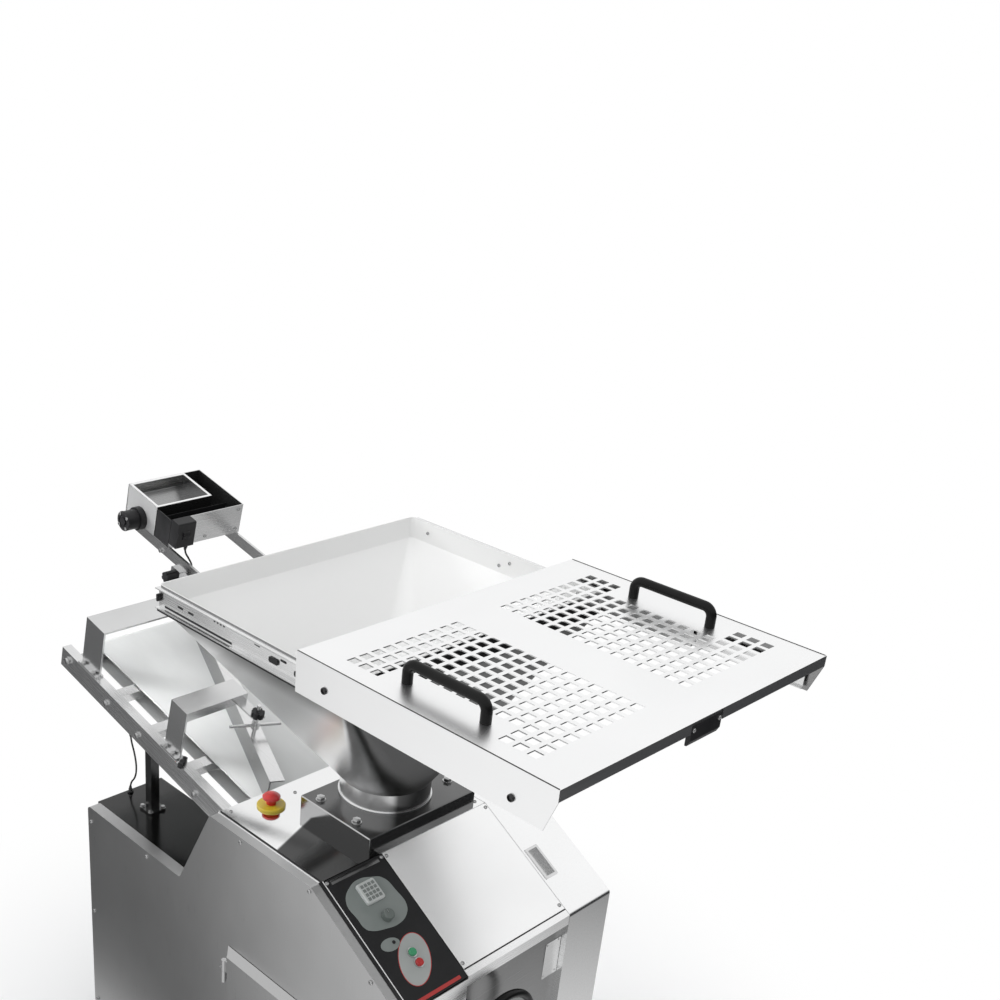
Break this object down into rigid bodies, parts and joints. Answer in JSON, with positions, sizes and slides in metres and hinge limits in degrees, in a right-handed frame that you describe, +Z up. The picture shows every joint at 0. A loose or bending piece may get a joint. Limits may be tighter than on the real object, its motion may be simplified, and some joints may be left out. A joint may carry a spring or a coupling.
{
  "type": "volumetric dough divider",
  "caption": "Free-standing dough divider with funnel hopper, sliding perforated lid, slanted control panel, tilted outfeed belt with rounding bar and flour duster.",
  "frame": {"origin": "on the floor, below the middle of the overall box with the lid drawn out to the front", "axes": "+X to the operator's right, +Y to the rear along the outfeed belt, +Z up"},
  "size_m": [0.784, 1.7101, 1.548],
  "materials": {
    "stainless_sheet": "fine brushed stainless sheet",
    "stainless_polished": "mirror polished stainless sheet",
    "hopper_steel": "polished outside, pale non-stick coating inside",
    "machined_steel": "machined steel",
    "zinc_steel": "zinc plated rolled steel",
    "frame_paint": "grey paint",
    "motor_paint": "painted cast housing",
    "black_plastic": "fine grained",
    "membrane_film": "matt dark film with pale printed fields",
    "display_plastic": "smooth",
    "red_plastic": "smooth",
    "green_plastic": "smooth",
    "yellow_plastic": "smooth",
    "belt_cloth": "woven food belt",
    "chain_steel": "oiled steel",
    "pom_white": "food grade plastic",
    "cable_rubber": "smooth sheath",
    "foot_rubber": "matt"
  },
  "bodies": {
    "machine": {"levelling_feet": "machined_steel", "base_frame": "frame_paint", "left_side_cover": "stainless_sheet", "right_side_cover": "stainless_sheet", "flush_pull": "black_plastic", "deck_plate": "stainless_polished", "front_cover": "stainless_sheet", "control_panel": "stainless_sheet", "panel_membrane": "membrane_film", "display_unit": "display_plastic", "button_bezels": "black_plastic", "front_frame": "stainless_sheet", "front_panel": "stainless_sheet", "rear_body": "stainless_sheet", "hopper": "hopper_steel", "hopper_base": "stainless_polished", "slide_rails": "zinc_steel", "chamber_block": "machined_steel", "shaft_bearings": "motor_paint", "gear_motor": "motor_paint", "drive_chain": "chain_steel", "conveyor_frame": "stainless_sheet", "conveyor_bed": "stainless_sheet", "conveyor_belt": "belt_cloth", "conveyor_post": "stainless_sheet", "guide_arm": "stainless_sheet", "rear_bridge": "stainless_sheet", "duster_housing": "stainless_sheet", "flour_bin": "stainless_sheet", "duster_motor": "motor_paint", "duster_arms": "stainless_sheet", "duster_switch_box": "black_plastic", "duster_cable": "cable_rubber", "estop_collar": "yellow_plastic", "conveyor_cable": "cable_rubber"},
    "lid": {"lid": "stainless_polished", "lid_handles": "black_plastic", "lid_rails": "zinc_steel"},
    "lid_latch": {"lid_latch": "black_plastic"},
    "slide_middles": {"slide_middles": "zinc_steel"},
    "side_door": {"side_door": "stainless_sheet"},
    "emergency_stop": {"emergency_stop": "red_plastic"},
    "start_button": {"start_button": "green_plastic"},
    "stop_button": {"stop_button": "red_plastic"},
    "speed_knob": {"speed_knob": "black_plastic"},
    "handwheel": {"handwheel": "black_plastic"},
    "weight_stop": {"weight_stop": "machined_steel"},
    "dough_knife": {"dough_knife": "machined_steel"},
    "main_piston": {"main_piston": "machined_steel"},
    "dividing_drum": {"dividing_drum": "machined_steel"},
    "measuring_piston": {"measuring_piston": "pom_white"},
    "cam_shaft": {"cam_shaft": "machined_steel"},
    "motor_sprocket": {"motor_sprocket": "machined_steel"},
    "belt_drive_roller": {"belt_drive_roller": "machined_steel"},
    "belt_tail_roller": {"belt_tail_roller": "machined_steel"},
    "duster_roller": {"duster_roller": "pom_white"},
    "duster_switch": {"duster_switch": "black_plastic"},
    "duster_clamp_knob": {"duster_clamp_knob": "black_plastic"},
    "guide_knob": {"guide_knob": "black_plastic"},
    "rounding_bar": {"rounding_bar": "stainless_sheet"}
  },
  "joints": [
    {"name": "lid_slide", "type": "slide", "parent": "machine", "child": "lid", "axis": [0, 1, 0], "range_m": [0, 0.477]},
    {"name": "slide_middle_slide", "type": "slide", "parent": "machine", "child": "slide_middles", "axis": [0, 1, 0], "range_m": [0, 0.2385]},
    {"name": "latch_hinge", "type": "hinge", "parent": "lid", "child": "lid_latch", "pos_m": [0, -0.8495, 1.4905], "axis": [1, 0, 0], "range_deg": [-20, 0], "stiffness_Nm_per_rad": 0.2},
    {"name": "door_hinge", "type": "hinge", "parent": "machine", "child": "side_door", "pos_m": [-0.337, 0.011, 0.43], "axis": [0, 0, 1], "range_deg": [-110, 0]},
    {"name": "estop_push", "type": "slide", "parent": "machine", "child": "emergency_stop", "axis": [0, 0, -1], "range_m": [0, 0.005], "stiffness_N_per_m": 900},
    {"name": "start_push", "type": "slide", "parent": "machine", "child": "start_button", "axis": [0, 0.4961, -0.8682], "range_m": [0, 0.003], "stiffness_N_per_m": 300},
    {"name": "stop_push", "type": "slide", "parent": "machine", "child": "stop_button", "axis": [0, 0.4961, -0.8682], "range_m": [0, 0.003], "stiffness_N_per_m": 300},
    {"name": "speed_turn", "type": "hinge", "parent": "machine", "child": "speed_knob", "pos_m": [-0.2175, -0.36179, 0.89997], "axis": [0, -0.4961, 0.8682], "range_deg": [-135, 135]},
    {"name": "handwheel_turn", "type": "hinge", "parent": "machine", "child": "handwheel", "pos_m": [-0.055, -0.557, 0.64], "axis": [0, 1, 0], "range_deg": [-720, 720]},
    {"name": "weight_stop_slide", "type": "slide", "parent": "machine", "child": "weight_stop", "axis": [0, 1, 0], "range_m": [-0.0101, 0.0101]},
    {"name": "knife_slide", "type": "slide", "parent": "machine", "child": "dough_knife", "axis": [0, 1, 0], "range_m": [0, 0.12]},
    {"name": "piston_slide", "type": "slide", "parent": "machine", "child": "main_piston", "axis": [0, 1, 0], "range_m": [0, 0.12]},
    {"name": "drum_turn", "type": "hinge", "parent": "machine", "child": "dividing_drum", "pos_m": [0, 0.035, 0.885], "axis": [1, 0, 0], "range_deg": [0, 180]},
    {"name": "measuring_slide", "type": "slide", "parent": "dividing_drum", "child": "measuring_piston", "axis": [0, -1, 0], "range_m": [0, 0.03]},
    {"name": "cam_turn", "type": "hinge", "parent": "machine", "child": "cam_shaft", "pos_m": [0, -0.196, 0.545], "axis": [1, 0, 0], "continuous": true},
    {"name": "motor_sprocket_turn", "type": "hinge", "parent": "machine", "child": "motor_sprocket", "pos_m": [0.16, -0.196, 0.245], "axis": [1, 0, 0], "continuous": true},
    {"name": "belt_drive_turn", "type": "hinge", "parent": "machine", "child": "belt_drive_roller", "pos_m": [0, 0.81816, 1.0136], "axis": [1, 0, 0], "continuous": true},
    {"name": "belt_tail_turn", "type": "hinge", "parent": "machine", "child": "belt_tail_roller", "pos_m": [0, 0.15701, 0.86339], "axis": [1, 0, 0], "continuous": true},
    {"name": "dust_roller_turn", "type": "hinge", "parent": "machine", "child": "duster_roller", "pos_m": [-0.025, 0.65717, 1.42479], "axis": [1, 0, 0], "continuous": true},
    {"name": "dust_switch_rock", "type": "hinge", "parent": "machine", "child": "duster_switch", "pos_m": [-0.082, 0.51097, 1.42285], "axis": [1, 0, 0], "range_deg": [-10, 10]},
    {"name": "dust_clamp_turn", "type": "hinge", "parent": "machine", "child": "duster_clamp_knob", "pos_m": [-0.111, 0.50937, 1.32609], "axis": [1, 0, 0], "range_deg": [-180, 180]},
    {"name": "guide_knob_turn", "type": "hinge", "parent": "machine", "child": "guide_knob", "pos_m": [-0.04902, 0.26502, 1.0356], "axis": [0, -0.2215, 0.9751], "range_deg": [-180, 180]},
    {"name": "guide_lift", "type": "slide", "parent": "machine", "child": "rounding_bar", "axis": [0, -0.2215, 0.9751], "range_m": [0, 0.01]}
  ],
  "couplings": [
    {"joint": "slide_middle_slide", "follows": "lid_slide", "ratio": 0.5},
    {"joint": "weight_stop_slide", "follows": "handwheel_turn", "m_per_rad": 0.00079577},
    {"joint": "motor_sprocket_turn", "follows": "cam_turn", "ratio": 2},
    {"joint": "belt_tail_turn", "follows": "belt_drive_turn", "ratio": 1}
  ]
}
